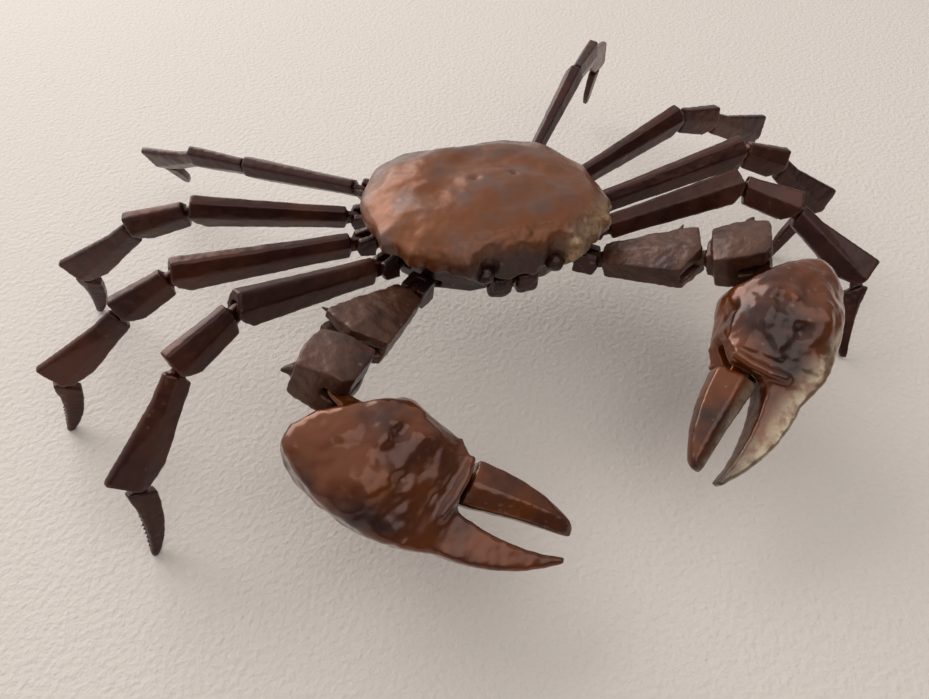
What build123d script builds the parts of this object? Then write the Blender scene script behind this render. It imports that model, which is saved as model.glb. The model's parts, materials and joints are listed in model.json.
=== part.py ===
from build123d import *
import os
from math import cos, radians, sin, tan

os.makedirs("parts", exist_ok=True)

# A crab built from hammered copper plates, riveted so that every joint of its legs and
# claws turns and holds by friction.  Millimetres, +Z up, the crab looks along -Y, and
# +X is the crab's own left.  The origin lies on the table under the middle of the crab.
# Side is +1 for the crab's left and -1 for its right.

# Body shell, measured from the middle of the body at the level of its rim
shell_width = 54.5
shell_front = 22.5
shell_rear = 18.0
shell_height = 9.0
rim_reach = 1.2
crown_directions = 12
hollow_depth = 4.5

# Underside, measured on its flat belly
body_depth = 10.5
belly_width = 42.4
belly_front = 16.6
belly_rear = 13.7
belly_flare = 15.0
belly_edge = 1.2
flap_thickness = 1.0
flap_width = 15.0
flap_length = 18.0
eye_radius = 2.0
eye_length = 3.2
eye_place = 8.0
eye_sides = 10
mouth_width = 5.6
mouth_height = 6.0
mouth_bulge = 1.6
mouth_gap = 0.5

# Place of the body over the table
lean = 6.0
body_across = 2.3
body_along = 0.85

# Rivets and their fits
pin_radius = 0.5
pin_sides = 10
running_gap = 0.05
side_gap = 0.12
overrun = 2.0

# Hips: upright pins in the body, numbered from the front
hip_drop = 5.5
hip_yaw = (24.5, 6.0, -11.5, -41.5)
pocket_spread = 18.0
hip_tongue = 1.6
hip_knuckle = 1.9
coxa_length = 7.0
coxa_start = 4.1
coxa_width = 4.4
coxa_height = 5.2

# Legs, lengths from hinge to hinge for each pair
merus_length = (32.0, 37.0, 33.5, 31.0)
carpus_length = (14.0, 12.5, 14.0, 16.0)
propodus_length = (23.0, 20.5, 22.5, 20.0)
dactyl_length = (19.0, 17.0, 17.0, 15.0)
merus_height = 7.4
merus_width = 5.0
carpus_height = 7.6
carpus_width = 4.8
propodus_height = 8.8
propodus_width = 4.6
dactyl_height = 5.2
dactyl_width = 3.2
foot_width = 1.8
tongue = 1.3
hip_hinge = 1.5
knee_hinge = 1.6
shin_hinge = 1.45
foot_hinge = 1.3

# Pose of the legs: turn at the hip, tilt of the leg's plane, rise of the merus, and the
# bend of each later joint, by side and pair, in degrees
leg_yaw = {1: (27.0, 10.0, -9.0, -45.0), -1: (22.0, 2.0, -14.0, -38.0)}
leg_tilt = {1: (-33.0, -6.0, -2.0, 3.0), -1: (12.0, 0.0, -14.0, -36.0)}
merus_rise = {1: (25.77, 20.96, 19.57, 20.0), -1: (11.61, 1.51, 4.0, -11.0)}
carpus_bend = {1: (-39.0, -38.0, -33.0, -21.0), -1: (-33.0, -33.0, -27.0, -1.0)}
propodus_bend = {1: (-22.0, -19.0, -8.0, -25.0), -1: (-31.0, -13.0, -24.0, -22.0)}
dactyl_bend = {1: (-49.0, -79.0, -75.0, -57.0), -1: (-28.0, -32.0, -36.0, -55.0)}

# Claws
claw_drop = 7.8
claw_mean_yaw = 39.0
claw_coxa_length = 7.5
claw_coxa_start = 3.8
claw_coxa_width = 5.4
claw_coxa_height = 5.2
claw_merus_length = 22.0
claw_merus_width = 13.4
claw_merus_height = 8.0
claw_carpus_length = 13.5
claw_carpus_width = 13.6
claw_carpus_height = 10.0
palm_length = 24.0
palm_top = 6.0
palm_belly = 18.0
palm_thickness = 14.4
finger_reach = 24.0
finger_height = 8.4
finger_width = 6.4
tip_width = 1.8
claw_tongue = 1.8
shoulder_hinge = 1.7
elbow_hinge = 1.8
wrist_hinge = 1.8
finger_hinge = 2.0

# Build of the claws, twist of each segment about itself, and their pose, in degrees
merus_twist = 12.0
carpus_twist = 9.0
palm_twist = -33.0
claw_yaw = {1: 40.5, -1: 37.5}
claw_rise = {1: 22.0, -1: 13.0}
claw_elbow = {1: -4.0, -1: -26.0}
claw_wrist = {1: -93.0, -1: -73.0}
finger_open = {1: 15.0, -1: 16.0}

# Outlines as shares of the sizes that they follow
# Rim of the shell, right half of the front from the middle to the side tooth:
# shares of half the width and of the front length
brow_shares = ((0.0, 0.955), (0.1, 1.0), (0.19, 0.965))
orbit_shares = ((0.27, 0.89), (0.35, 0.97))
lobe_shares = ((0.48, 0.995), (0.6, 0.87))
tooth_shares = ((0.66, 0.885), (0.73, 0.78), (0.84, 0.73), (0.88, 0.58), (0.98, 0.48), (0.97, 0.3))
# Rear half of the rim: shares of half the width and of the rear length
flank_shares = ((1.0, 0.05), (0.86, 0.55))
rear_shares = ((0.64, 0.87), (0.37, 1.0))
# Crown of the shell: shares of its reach and of its height; hollow: share of the rim
crown_shares = ((1.0, 0.0), (0.92, 0.36), (0.77, 0.68), (0.54, 0.88), (0.22, 1.0))
hollow_share = 0.7
# Underside: shares of half its width and of its front or rear length
belly_front_shares = ((0.42, 1.0), (0.76, 0.797), (0.97, 0.443), (1.0, 0.0))
belly_rear_shares = ((0.95, 0.5), (0.74, 0.93), (0.38, 1.0))
# Hips and claws: shares of half the belly's width and of its whole length
hip_shares = ((0.9104, -0.2178), (0.9811, -0.0066), (0.9057, 0.2112), (0.7453, 0.429))
claw_hip_share = (0.717, -0.3795)
flap_shares = ((0.12, 0.0), (0.22, 0.14), (0.46, 0.24), (0.62, 0.46), (0.78, 0.62), (0.9, 0.84), (1.0, 1.0))
# Half heights of each limb at its two ends, top and bottom: shares of its height
merus_shares = (0.37, 0.37, 0.5, 0.5)
carpus_shares = (0.4, 0.4, 0.56, 0.44)
propodus_shares = (0.3, 0.3, 0.66, 0.4)
claw_merus_shares = (0.22, 0.22, 0.5, 0.5)
claw_carpus_shares = (0.36, 0.31, 0.56, 0.31)
# Spines on the outer edge: shares of the length and of half the height
claw_merus_crest_shares = ((0.3, 0.6), (0.36, 0.51), (0.56, 0.84), (0.62, 0.73), (0.85, 1.4), (0.92, 1.0))
claw_carpus_crest_shares = ((0.3, 0.92), (0.5, 1.0), (0.68, 1.32), (0.84, 1.0))
# Fold along the long edges of a limb: shares of its width and height
top_fold_shares = (0.24, 0.2)
bottom_fold_shares = (0.14, 0.26)
base_share = 0.72
# Far end of a limb round its hinge: shares of the knuckle
fork_shares = ((0.95, -0.2), (0.2, -1.3))
lip_share = 0.55
claw_lip_share = 0.25
coxa_fork_shares = ((0.5, -1.3), (1.0, 0.0), (0.5, 1.3))
# Where the bottom edge ends before the far hinge: shares of the knuckle
heel_share = 1.2
foot_heel_share = 3.6
wrist_heel_share = 3.4
# Near end of a limb, top and bottom: shares of the knuckle
shoulder_shares = (1.25, 2.7)
foot_shoulder_shares = (1.3, 3.1)
upright_shares = (1.65, 1.65)
slot_share = 1.45
wrist_slot_share = 2.6
knuckle_shares = ((0.0, 1.0), (-0.72, 0.72), (-1.0, 0.0), (-0.72, -0.72), (0.0, -1.0))
# Foot: shares of its length and of half its height
foot_back_shares = ((0.55, 0.95), (1.0, 0.0))
foot_sole_shares = ((0.965, -0.5), (0.55, -0.5))
# Hand: top edge, shares of the palm's length and of its top; then the edge of the gap,
# the fixed finger, shares of the finger's reach and of the belly; then the belly and
# the wrist side, shares of the palm's length and of the belly
palm_top_shares = ((0.25, 0.35), (0.4, 0.97), (0.9, 1.0), (1.06, 0.57))
gap_shares = ((0.085, -0.06), (0.16, -0.22))
prong_top_shares = ((0.6, -0.15), (1.0, 0.06))
prong_bottom_shares = ((1.02, 0.01), (0.66, -0.4), (0.2, -0.64))
belly_curve_shares = ((0.72, -0.88), (0.12, -0.81))
heel_curve_shares = ((-0.05, -0.68), (-0.1, -0.5))
wrist_side_share = (0.06, -0.17)
# Thickness of the hand seen from its back: shares of the palm's length and half its
# thickness, then of the finger's reach
palm_plan_shares = ((-0.2, 0.5), (0.12, 0.74), (0.5, 1.0), (0.9, 0.8))
prong_plan_shares = ((0.18, 0.47), (0.68, 0.3), (1.1, 0.13))
# Hand seen from its end: shares of its top or belly and of half its thickness
palm_end_shares = ((1.1, 0.45), (0.1, 1.0))
belly_end_shares = ((-0.55, 1.0), (-1.1, 0.45))
# Room for the carpus in the hand: shares of the wrist's knuckle
wrist_room_shares = ((-6.0, 2.3), (0.3, 2.3), (1.75, 1.2), (2.2, -1.0), (5.0, -6.0), (-6.0, -6.0))
# Movable finger: shares of its reach and of its height
finger_back_shares = ((0.55, 0.34), (1.0, -0.15))
finger_edge_shares = ((0.975, -0.24), (0.5, -0.3))
finger_base_shares = (0.5, -0.36)
finger_shoulder_shares = (1.8, 1.4)


class Frames:
    """Directions of the leaning body, as seen from the table."""

    across = Vector(cos(radians(lean)), 0, -sin(radians(lean)))
    up = Vector(sin(radians(lean)), 0, cos(radians(lean)))
    back = up.cross(across)


def turned(vector, about, degrees):
    return vector.rotate(Axis((0, 0, 0), about), degrees)


def outward(side, yaw):
    """Level direction of a limb that leaves the body, turned forward by yaw."""
    return Frames.across * (side * cos(radians(yaw))) - Frames.back * sin(radians(yaw))


def from_body(across, along, rise):
    return Frames.across * across + Frames.back * along + Frames.up * rise


def hip_point(side, share, drop):
    """Place of an upright hip pin, given by its shares of the belly."""
    return from_body(side * share[0] * belly_width / 2, share[1] * (belly_front + belly_rear), -drop)


def hip_place(side, pair):
    return hip_point(side, hip_shares[pair], hip_drop)


def claw_place(side):
    return hip_point(side, claw_hip_share, claw_drop)


def leg_chain(side, pair):
    """Place, direction and hinge axis of each segment of a leg, and the tip of its foot."""
    out = outward(side, leg_yaw[side][pair])
    tilt = radians(leg_tilt[side][pair])
    rising = Frames.up * cos(tilt) + out.cross(Frames.up) * sin(tilt)
    hinge = out.cross(rising)
    lengths = (merus_length, carpus_length, propodus_length, dactyl_length)
    bends = (merus_rise, carpus_bend, propodus_bend, dactyl_bend)
    place = hip_place(side, pair) + out * coxa_length
    angle = 0
    chain = []
    for length, bend in zip(lengths, bends):
        angle = angle + bend[side][pair]
        ahead = turned(out, hinge, angle)
        chain.append((place, ahead, hinge))
        place = place + ahead * length[pair]
    return chain, place


def claw_chain(side):
    """Place, direction, near and far hinge axis of each segment of a claw.

    Each hinge axis is turned so that a negative angle folds the claw."""
    out = outward(side, claw_yaw[side])
    lift = out.cross(Frames.up)
    place = claw_place(side) + out * claw_coxa_length
    ahead = turned(out, lift, claw_rise[side])
    elbow = turned(lift.cross(ahead) * side, ahead, side * merus_twist)
    chain = [(place, ahead, lift, elbow)]
    place = place + ahead * claw_merus_length
    ahead = turned(ahead, elbow, claw_elbow[side])
    wrist = turned(elbow, ahead, side * carpus_twist)
    chain.append((place, ahead, elbow, wrist))
    place = place + ahead * claw_carpus_length
    ahead = turned(ahead, wrist, claw_wrist[side])
    knuckle = turned(wrist, ahead, side * palm_twist) * -1
    chain.append((place, ahead, wrist, knuckle))
    place = place + ahead * palm_length
    ahead = turned(ahead, knuckle, finger_open[side])
    chain.append((place, ahead, knuckle, knuckle))
    return chain


def foot_height(side, pair):
    """Height of the lowest corner of a foot, counted from the middle of the body."""
    chain, tip = leg_chain(side, pair)
    place, ahead, hinge = chain[-1]
    share = foot_sole_shares[0]
    sole = place + ahead * (share[0] * dactyl_length[pair]) + hinge.cross(ahead) * (share[1] * dactyl_height / 2)
    return min(tip.Z, sole.Z) - abs(hinge.Z) * foot_width / 2


body_height = -min(foot_height(side, pair) for side in (1, -1) for pair in range(4))
body_origin = Vector(body_across, body_along, body_height)
body_plane = Plane(origin=body_origin, x_dir=Frames.across, z_dir=Frames.up)
front_plane = Plane(origin=body_origin, x_dir=Frames.across, z_dir=Frames.back * -1)


def limb_plane(place, ahead, hinge):
    """Plane of a limb's side view: X along the limb, Z along the hinge."""
    return Plane(origin=body_origin + place, x_dir=ahead, z_dir=hinge)


def top_plane(side_plane):
    """Plane that looks down on a limb: X along the limb, Z towards its back."""
    return Plane(origin=side_plane.origin, x_dir=side_plane.x_dir, z_dir=side_plane.y_dir)


def section_plane(side_plane, distance):
    """Plane across a limb at a distance from its near hinge."""
    middle = side_plane.origin + side_plane.x_dir * distance
    return Plane(origin=middle, x_dir=side_plane.z_dir * -1, z_dir=side_plane.x_dir)


def both_halves(points):
    """A half outline that runs from the middle, closed by its mirror image."""
    mirrored = [(-x, y) for x, y in reversed(points)]
    return points + mirrored


def scaled(shares, length, height):
    return [(a * length, b * height) for a, b in shares]


def outline(plane, points):
    with BuildSketch(plane) as sketch:
        with BuildLine():
            Polyline(points, close=True)
        make_face()
    return sketch.sketch


def rivet(hinge_plane, length):
    with BuildPart() as pin:
        with BuildSketch(hinge_plane):
            RegularPolygon(pin_radius, pin_sides)
        extrude(amount=length / 2, both=True)
    return pin.part


def drill(hinge_plane, length):
    """Bores the limb that is being built for a rivet."""
    with BuildSketch(hinge_plane) as bore:
        RegularPolygon(pin_radius + running_gap, pin_sides, major_radius=False)
    extrude(bore.sketch, amount=length, both=True, mode=Mode.SUBTRACT)


def cut_slot(side_plane, start, end, low, high, width):
    """Cuts the slot of a fork out of the limb that is being built."""
    corners = [(start, low), (end, low), (end, high), (start, high)]
    extrude(outline(side_plane, corners), amount=width / 2, both=True, mode=Mode.SUBTRACT)


def add_tongue(side_plane, knuckle, reach, width):
    """Adds the drilled tongue that turns in the fork of the segment before."""
    points = [(reach, knuckle)] + scaled(knuckle_shares, knuckle, knuckle) + [(reach, -knuckle)]
    extrude(outline(side_plane, points), amount=width / 2, both=True)
    drill(side_plane, width)


def finish(name, *solids):
    """Writes a piece, with the rivets that it carries, under its name."""
    piece = solids[0] if len(solids) == 1 else Compound(children=list(solids))
    piece.label = name
    export_step(piece, f"parts/{name}.step")


def rim_line(shares, length):
    return [(a * shell_width / 2, b * length) for a, b in shares]


brow = rim_line(brow_shares, -shell_front)
orbit = rim_line(orbit_shares, -shell_front)
lobe = rim_line(lobe_shares, -shell_front)
teeth = rim_line(tooth_shares, -shell_front)
flank = rim_line(flank_shares, shell_rear)
rear = rim_line(rear_shares, shell_rear)
rim_points = both_halves(brow + orbit + lobe + teeth + flank + rear)
shell_middle = (shell_rear - shell_front) / 2


def shell_outline():
    """Rim of the shell with its brows, eye notches and side teeth."""
    with BuildSketch(body_plane) as rim:
        with BuildLine():
            Polyline(brow)
            ThreePointArc(brow[-1], *orbit)
            ThreePointArc(orbit[-1], *lobe)
            Polyline(lobe[-1:] + teeth)
            ThreePointArc(teeth[-1], *flank)
            ThreePointArc(flank[-1], *rear)
            Polyline(rear[-1], (0, shell_rear), brow[0])
        make_face()
        mirror(about=Plane.YZ)
    return rim.sketch


def crown_profile(angle):
    """Upright outline of the crown, seen across one direction from the middle of the shell."""
    direction = (cos(radians(angle)), sin(radians(angle)))
    shadows = [x * direction[0] + (y - shell_middle) * direction[1] for x, y in rim_points]
    ahead = scaled(crown_shares, max(shadows) + rim_reach, shell_height)
    behind = scaled(crown_shares, min(shadows) - rim_reach, shell_height)
    facing = Frames.across * direction[0] + Frames.back * direction[1]
    plane = Plane(origin=body_plane.from_local_coords((0, shell_middle, 0)), x_dir=facing,
                  z_dir=facing.cross(Frames.up))
    return outline(plane, ahead + behind[::-1])


# Carapace: a hammered crown over the toothed rim, hollow beneath
with BuildPart() as carapace:
    extrude(shell_outline(), amount=shell_height + overrun)
    for step in range(crown_directions // 2):
        profile = crown_profile(step * 360 / crown_directions)
        extrude(profile, amount=shell_width, both=True, mode=Mode.INTERSECT)
    inner = [(x * hollow_share, (y - shell_middle) * hollow_share + shell_middle) for x, y in rim_points]
    extrude(outline(body_plane, inner), amount=hollow_depth, mode=Mode.SUBTRACT)
carapace.part.label = "carapace"
export_step(carapace.part, "parts/carapace.step")


def hip_pocket(place, side, yaw):
    """Cuts the pocket of one hip, open to the side, out of the piece that is being built."""
    room = hip_knuckle + 4 * side_gap
    reach = coxa_start + coxa_length
    spread = room + reach * sin(radians(pocket_spread))
    plane = Plane(origin=body_origin + place, x_dir=outward(side, yaw), z_dir=Frames.up)
    points = [(reach, spread)] + scaled(knuckle_shares, room, room) + [(reach, -spread)]
    extrude(outline(plane, points), amount=hip_tongue / 2 + side_gap, both=True, mode=Mode.SUBTRACT)


# Plastron: the flaring under-body with a pocket for each hip and claw
belly_points = scaled(belly_front_shares, belly_width / 2, -belly_front)
belly_points = belly_points + scaled(belly_rear_shares, belly_width / 2, belly_rear)
with BuildPart() as plastron:
    extrude(outline(body_plane.offset(-body_depth), both_halves(belly_points)), amount=body_depth,
            taper=-belly_flare)
    chamfer(plastron.faces().sort_by(Axis(body_origin, Frames.up))[0].edges(), belly_edge)
    for side in (1, -1):
        for pair in range(4):
            hip_pocket(hip_place(side, pair), side, hip_yaw[pair])
        hip_pocket(claw_place(side), side, claw_mean_yaw)
plastron.part.label = "plastron"
export_step(plastron.part, "parts/plastron.step")


# Hip pins: one upright rivet across the pocket of each leg and claw
hips = [hip_place(side, pair) for side in (1, -1) for pair in range(4)]
hips = hips + [claw_place(side) for side in (1, -1)]
hip_planes = [Plane(origin=body_origin + hip, x_dir=Frames.across, z_dir=Frames.up) for hip in hips]
finish("hip_pins", *[rivet(plane, hip_tongue + 2 * side_gap) for plane in hip_planes])

# Abdomen: the tail folded flat under the body
flap_start = belly_rear - belly_edge - flap_length
flap_points = [(a * flap_width / 2, flap_start + b * flap_length) for a, b in flap_shares]
with BuildPart() as abdomen_flap:
    extrude(outline(body_plane.offset(-body_depth), both_halves(flap_points)), amount=-flap_thickness)
abdomen_flap.part.label = "abdomen_flap"
export_step(abdomen_flap.part, "parts/abdomen_flap.step")

head_front = belly_front + body_depth * tan(radians(belly_flare))


def eye(side):
    """A short stalk with a bevelled end that looks out of its notch in the rim."""
    with BuildPart() as stalk:
        with BuildSketch(front_plane.offset(belly_front)):
            with Locations((side * eye_place, -eye_radius)):
                RegularPolygon(eye_radius, eye_sides, major_radius=False)
        extrude(amount=head_front - belly_front + eye_length)
        chamfer(stalk.faces().sort_by(Axis(body_origin, Frames.back))[0].edges(), eye_radius / 2)
        add(plastron.part, mode=Mode.SUBTRACT)
    return stalk.part


def maxilliped(side):
    """One of the two plates that close the mouth, bulging forward."""
    middle = (side * (mouth_gap + mouth_width) / 2, -eye_radius * 2 - mouth_height / 2)
    with BuildPart() as plate:
        with BuildSketch(front_plane.offset(belly_front)):
            with Locations(middle):
                Rectangle(mouth_width, mouth_height)
        extrude(amount=head_front - belly_front + mouth_bulge)
        chamfer(plate.faces().sort_by(Axis(body_origin, Frames.back))[0].edges(), mouth_bulge / 2)
        add(plastron.part, mode=Mode.SUBTRACT)
    return plate.part


def coxa(base, side_plane, sizes):
    """Hip block: a level tongue in the body's pocket and an upright fork for the leg."""
    start, length, width, height, knuckle, fork_tongue = sizes
    slot = fork_tongue + 2 * side_gap
    back = start - length
    with BuildPart() as block:
        points = [(back, -height / 2)] + scaled(coxa_fork_shares, knuckle, knuckle) + [(back, height / 2)]
        extrude(outline(side_plane, points), amount=width / 2, both=True)
        cut_slot(side_plane, -slot_share * knuckle, 2 * knuckle, -height, height, slot)
        add_tongue(base, hip_knuckle, start + overrun / 4, hip_tongue)
    return block.part, rivet(side_plane, slot)


def limb_outline(length, halves, near, far, shoulder, heel, lip, crest):
    """Outline of a limb between two hinges, from the top of its near end round its far end."""
    near_top, near_bottom, far_top, far_bottom = halves
    points = [(shoulder[0] * near, near_top)] + scaled(crest, length, far_top)
    points = points + [(length + lip * far, far_top)]
    points = points + [(length + a * far, b * far) for a, b in fork_shares]
    return points + [(length - heel * far, -far_bottom), (shoulder[1] * near, -near_bottom)]


def fold_edges(limb, side_plane, width, height):
    """Bevels the long edges of the limb that is being built, its back and then its belly."""
    for which, shares in ((-1, top_fold_shares), (0, bottom_fold_shares)):
        face = limb.faces().sort_by(Axis(side_plane.origin, side_plane.y_dir))[which]
        chamfer(face.edges().sort_by(SortBy.LENGTH)[-2:], shares[0] * width, shares[1] * height,
                reference=face)


def leg_segment(side_plane, length, sizes, ends, shoulder, heel):
    """A tapered limb plate folded along its edges, with a tongue at its near hinge and a
    fork at its far one."""
    width, height, halves = sizes
    near, far = ends
    halves = [share * height for share in halves]
    end = length + far + overrun
    plan = [(0, base_share * width / 2), (end, width / 2), (end, -width / 2), (0, -base_share * width / 2)]
    with BuildPart() as limb:
        extrude(outline(side_plane, limb_outline(length, halves, near, far, shoulder, heel, lip_share, ())),
                amount=width, both=True)
        extrude(outline(top_plane(side_plane), plan), amount=height, both=True, mode=Mode.INTERSECT)
        fold_edges(limb, side_plane, width, height)
        cut_slot(side_plane, length - slot_share * far, end, -height, height, tongue + 2 * side_gap)
        add_tongue(side_plane, near, sum(shoulder) / 2 * near + near / 2, tongue)
    return limb.part


def dactyl(side_plane, length):
    """The pointed foot, curved like a claw."""
    near = foot_hinge
    high = dactyl_height / 2
    shoulder = foot_shoulder_shares
    back = [(shoulder[0] * near, high)] + scaled(foot_back_shares, length, high)
    sole = scaled(foot_sole_shares, length, high) + [(shoulder[1] * near, -high)]
    plan = [(0, dactyl_width / 2), (length, foot_width / 2), (length, -foot_width / 2), (0, -dactyl_width / 2)]
    with BuildPart() as foot:
        with BuildSketch(side_plane):
            with BuildLine():
                ThreePointArc(*back)
                Line(back[-1], sole[0])
                ThreePointArc(*sole)
                Line(sole[-1], back[0])
            make_face()
        extrude(amount=dactyl_width, both=True)
        extrude(outline(top_plane(side_plane), plan), amount=dactyl_height, both=True, mode=Mode.INTERSECT)
        add_tongue(side_plane, near, sum(shoulder) / 2 * near + near / 2, tongue)
    return foot.part


def claw_merus(near_plane, far_plane):
    """Arm of a claw, seen from above a widening triangle with spines on its outer edge."""
    length = claw_merus_length
    halves = [share * claw_merus_width for share in claw_merus_shares]
    end = length + elbow_hinge + overrun
    start = upright_shares[0] * shoulder_hinge
    low = base_share * claw_merus_height / 2
    high = claw_merus_height / 2
    side_view = [(start, low), (end, high), (end, -high), (start, -low)]
    plan = limb_outline(length, halves, 0, elbow_hinge, shoulder_shares, heel_share, claw_lip_share,
                        claw_merus_crest_shares)
    with BuildPart() as limb:
        extrude(outline(far_plane, plan), amount=claw_merus_height, both=True)
        extrude(outline(near_plane, side_view), amount=claw_merus_width, both=True, mode=Mode.INTERSECT)
        cut_slot(far_plane, length - slot_share * elbow_hinge, end, -claw_merus_width, claw_merus_width,
                 claw_tongue + 2 * side_gap)
        add_tongue(near_plane, shoulder_hinge, start + shoulder_hinge / 2, claw_tongue)
    return limb.part


def claw_carpus(near_plane, far_plane):
    """Angular hood between arm and hand, with a spine at its outer corner."""
    length = claw_carpus_length
    width = claw_carpus_width
    halves = [share * width for share in claw_carpus_shares]
    end = length + wrist_hinge + overrun
    low = base_share * claw_carpus_height / 2
    high = claw_carpus_height / 2
    side_view = [(0, low), (length / 2, high), (end, high), (end, -high), (length / 2, -high), (0, -low)]
    plan = limb_outline(length, halves, elbow_hinge, wrist_hinge, shoulder_shares, wrist_heel_share,
                        claw_lip_share, claw_carpus_crest_shares)
    with BuildPart() as limb:
        extrude(outline(near_plane, plan), amount=claw_carpus_height, both=True)
        extrude(outline(top_plane(near_plane), side_view), amount=width, both=True, mode=Mode.INTERSECT)
        cut_slot(far_plane, length - wrist_slot_share * wrist_hinge, end, -width, width,
                 claw_tongue + 2 * side_gap)
        add_tongue(near_plane, elbow_hinge, sum(shoulder_shares) / 2 * elbow_hinge + elbow_hinge / 2,
                   claw_tongue)
    return limb.part


def palm(near_plane, far_plane, finger_plane):
    """The swollen hand with its fixed finger."""
    half = palm_thickness / 2

    def prong(shares):
        return [(palm_length + a * finger_reach, b * palm_belly) for a, b in shares]

    top = scaled(palm_top_shares, palm_length, palm_top) + prong(gap_shares)
    belly = scaled(belly_curve_shares, palm_length, palm_belly)
    heel = scaled(heel_curve_shares, palm_length, palm_belly)
    tip = prong(prong_top_shares)
    under = prong(prong_bottom_shares)
    wrist_side = scaled([wrist_side_share], palm_length, palm_belly)
    plan = scaled(palm_plan_shares, palm_length, half)
    plan = plan + [(palm_length + a * finger_reach, b * half) for a, b in prong_plan_shares]
    end_view = scaled(palm_end_shares, palm_top, half) + scaled(belly_end_shares, palm_belly, half)
    with BuildPart() as hand:
        with BuildSketch(far_plane):
            with BuildLine():
                Polyline(top)
                ThreePointArc(top[-1], *tip)
                Line(tip[-1], under[0])
                ThreePointArc(*under)
                ThreePointArc(under[-1], *belly)
                ThreePointArc(belly[-1], *heel)
                Polyline([heel[-1]] + wrist_side + [top[0]])
            make_face()
        extrude(amount=palm_thickness, both=True)
        extrude(outline(top_plane(far_plane), plan + [(x, -z) for x, z in reversed(plan)]),
                amount=2 * palm_belly, both=True, mode=Mode.INTERSECT)
        extrude(outline(section_plane(far_plane, 0), [(z, y) for y, z in end_view]
                        + [(-z, y) for y, z in reversed(end_view)]),
                amount=2 * (palm_length + finger_reach), both=True, mode=Mode.INTERSECT)
        extrude(outline(near_plane, scaled(wrist_room_shares, wrist_hinge, wrist_hinge)),
                amount=palm_thickness, both=True, mode=Mode.SUBTRACT)
        cut_slot(far_plane, palm_length - slot_share * finger_hinge, palm_length + gap_shares[-1][0] * finger_reach,
                 -slot_share * finger_hinge, 2 * palm_top, claw_tongue + 2 * side_gap)
        add_tongue(near_plane, wrist_hinge, wrist_room_shares[-2][0] / 2 * wrist_hinge + wrist_hinge,
                   claw_tongue)
    return hand.part, rivet(finger_plane, claw_tongue + 2 * side_gap)


def finger(side_plane):
    """The hooked movable finger."""
    back = scaled(finger_back_shares, finger_reach, finger_height)
    edge = scaled(finger_edge_shares, finger_reach, finger_height)
    top = (finger_shoulder_shares[0] * finger_hinge, finger_base_shares[0] * finger_height)
    bottom = (finger_shoulder_shares[1] * finger_hinge, finger_base_shares[1] * finger_height)
    half = finger_width / 2
    plan = [(0, half), (finger_reach, tip_width / 2), (finger_reach, -tip_width / 2), (0, -half)]
    with BuildPart() as claw:
        with BuildSketch(side_plane):
            with BuildLine():
                ThreePointArc(top, *back)
                Line(back[-1], edge[0])
                Polyline(edge + [bottom, top])
            make_face()
        extrude(amount=finger_width, both=True)
        extrude(outline(top_plane(side_plane), plan), amount=finger_height, both=True, mode=Mode.INTERSECT)
        add_tongue(side_plane, finger_hinge, finger_shoulder_shares[0] * finger_hinge + finger_hinge / 2,
                   claw_tongue)
    return claw.part


leg_coxa_sizes = (coxa_start, coxa_length, coxa_width, coxa_height, hip_hinge, tongue)
claw_coxa_sizes = (claw_coxa_start, claw_coxa_length, claw_coxa_width, claw_coxa_height,
                   shoulder_hinge, claw_tongue)
merus_sizes = (merus_width, merus_height, merus_shares)
carpus_sizes = (carpus_width, carpus_height, carpus_shares)
propodus_sizes = (propodus_width, propodus_height, propodus_shares)
slot = tongue + 2 * side_gap
for side, word in ((1, "left"), (-1, "right")):
    finish(f"{word}_eye", eye(side))
    finish(f"{word}_maxilliped", maxilliped(side))
    for pair in range(4):
        leg = f"{word}_leg_{pair + 1}"
        chain, tip = leg_chain(side, pair)
        planes = [limb_plane(*link) for link in chain]
        out = outward(side, leg_yaw[side][pair])
        base = Plane(origin=body_origin + hip_place(side, pair), x_dir=out, z_dir=Frames.up)
        level = Plane(origin=planes[0].origin, x_dir=out, z_dir=planes[0].z_dir)
        finish(f"{leg}_coxa", *coxa(base, level, leg_coxa_sizes))
        finish(f"{leg}_merus",
               leg_segment(planes[0], merus_length[pair], merus_sizes, (hip_hinge, knee_hinge),
                           upright_shares, heel_share),
               rivet(planes[1], slot))
        finish(f"{leg}_carpus",
               leg_segment(planes[1], carpus_length[pair], carpus_sizes, (knee_hinge, shin_hinge),
                           shoulder_shares, heel_share),
               rivet(planes[2], slot))
        finish(f"{leg}_propodus",
               leg_segment(planes[2], propodus_length[pair], propodus_sizes, (shin_hinge, foot_hinge),
                           shoulder_shares, foot_heel_share),
               rivet(planes[3], slot))
        finish(f"{leg}_dactyl", dactyl(planes[3], dactyl_length[pair]))
    claw = f"{word}_claw"
    chain = claw_chain(side)
    near_planes = [limb_plane(place, ahead, near) for place, ahead, near, far in chain]
    far_planes = [limb_plane(place, ahead, far) for place, ahead, near, far in chain]
    out = outward(side, claw_yaw[side])
    base = Plane(origin=body_origin + claw_place(side), x_dir=out, z_dir=Frames.up)
    level = Plane(origin=near_planes[0].origin, x_dir=out, z_dir=near_planes[0].z_dir)
    finish(f"{claw}_coxa", *coxa(base, level, claw_coxa_sizes))
    finish(f"{claw}_merus", claw_merus(near_planes[0], far_planes[0]),
           rivet(near_planes[1], claw_tongue + 2 * side_gap))
    finish(f"{claw}_carpus", claw_carpus(near_planes[1], far_planes[1]),
           rivet(near_planes[2], claw_tongue + 2 * side_gap))
    finish(f"{claw}_palm", *palm(near_planes[2], far_planes[2], near_planes[3]))
    finish(f"{claw}_finger", finger(near_planes[3]))
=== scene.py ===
"""An articulated crab of hammered and patinated copper, standing on textured paper."""
import json
import math
from types import SimpleNamespace

import bmesh
import bpy
from mathutils import Matrix, Vector


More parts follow.
